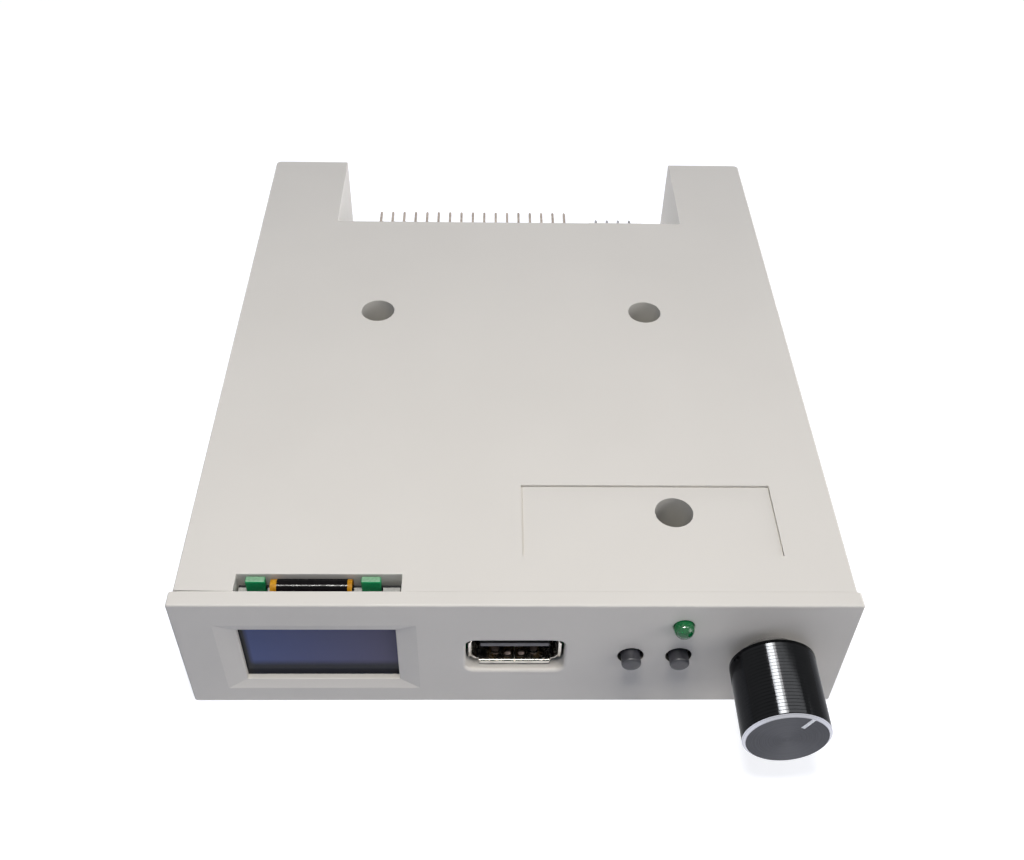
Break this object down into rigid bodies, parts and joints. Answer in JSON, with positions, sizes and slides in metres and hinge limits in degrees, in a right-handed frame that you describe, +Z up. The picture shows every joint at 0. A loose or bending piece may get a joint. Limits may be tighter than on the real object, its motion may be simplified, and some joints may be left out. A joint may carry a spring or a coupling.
{
  "type": "floppy drive emulator",
  "caption": "Flat drive-sized plastic box that stands in for a floppy drive, with a display window, a memory stick port, push buttons, a lamp and a push-turn knob on its front.",
  "frame": {"origin": "middle of the case's underside, halfway between the front face and the ends of the rear arms", "axes": "+X to the right seen from the front, +Y from the front to the rear, +Z up"},
  "size_m": [0.1016, 0.1328, 0.0254],
  "materials": {
    "case_plastic": "moulded plastic with a fine matt texture",
    "zinc_steel": "zinc plated",
    "board_green": "solder mask over glass resin",
    "chip_black": "moulded resin",
    "can_metal": "drawn can",
    "header_black": "moulded plastic",
    "contact_gold": "gold flash",
    "nylon_white": "moulded nylon",
    "tin": "tin plated",
    "port_nickel": "nickel plated sheet",
    "port_black": "moulded plastic",
    "spring_steel": "bright spring sheet",
    "button_grey": "moulded plastic",
    "lamp_green": "clear tinted resin",
    "display_dark": "dark display glass",
    "foam_white": "foam tape",
    "display_green": "dark solder mask",
    "flex_dark": "coated film",
    "clip_green": "moulded plastic",
    "wire_dark": "soft insulation",
    "encoder_metal": "nickel plated",
    "rotor_resin": "moulded resin",
    "knob_black": "black anodised, turned",
    "pointer_white": "white paint"
  },
  "bodies": {
    "housing": {"top_cover": "case_plastic", "bottom_tray": "case_plastic", "front_bezel": "case_plastic", "case_screws": "zinc_steel", "main_board": "board_green", "processor_chip": "chip_black", "driver_chips": "chip_black", "voltage_regulator": "chip_black", "left_switch_body": "chip_black", "right_switch_body": "chip_black", "encoder_cup": "chip_black", "clock_crystal": "can_metal", "storage_capacitors": "can_metal", "drive_header_block": "header_black", "jumper_block": "header_black", "jumper_cap": "header_black", "port_contacts": "contact_gold", "power_header_block": "nylon_white", "drive_header_pins": "tin", "jumper_pins": "tin", "power_header_pins": "tin", "switch_legs": "tin", "lamp_leads": "tin", "encoder_terminals": "tin", "port_shell": "port_nickel", "port_tongue": "port_black", "left_switch_dome": "spring_steel", "right_switch_dome": "spring_steel", "encoder_dome": "spring_steel", "lamp_lens": "lamp_green", "display_glass": "display_dark", "display_tape": "foam_white", "display_board": "display_green", "display_flex": "flex_dark", "display_clips": "clip_green", "display_cable": "wire_dark", "encoder_cable": "wire_dark", "encoder_frame": "encoder_metal", "encoder_washer": "encoder_metal", "encoder_nut": "encoder_metal"},
    "encoder_rotor": {"encoder_rotor": "rotor_resin"},
    "knob": {"encoder_shaft": "encoder_metal", "knob_shell": "knob_black", "knob_core": "header_black", "knob_pointer": "pointer_white"},
    "left_button": {"left_button": "button_grey"},
    "right_button": {"right_button": "button_grey"}
  },
  "joints": [
    {"name": "knob_turn", "type": "hinge", "parent": "housing", "child": "encoder_rotor", "pos_m": [0.0388, -0.059, 0.0135], "axis": [0, 1, 0], "continuous": true},
    {"name": "knob_press", "type": "slide", "parent": "encoder_rotor", "child": "knob", "axis": [0, 1, 0], "range_m": [0, 0.0005], "stiffness_N_per_m": 2000, "springref_m": -0.0005},
    {"name": "left_button_press", "type": "slide", "parent": "housing", "child": "left_button", "axis": [0, 1, 0], "range_m": [0, 0.00025], "stiffness_N_per_m": 3000, "springref_m": -0.00025},
    {"name": "right_button_press", "type": "slide", "parent": "housing", "child": "right_button", "axis": [0, 1, 0], "range_m": [0, 0.00025], "stiffness_N_per_m": 3000, "springref_m": -0.00025}
  ]
}
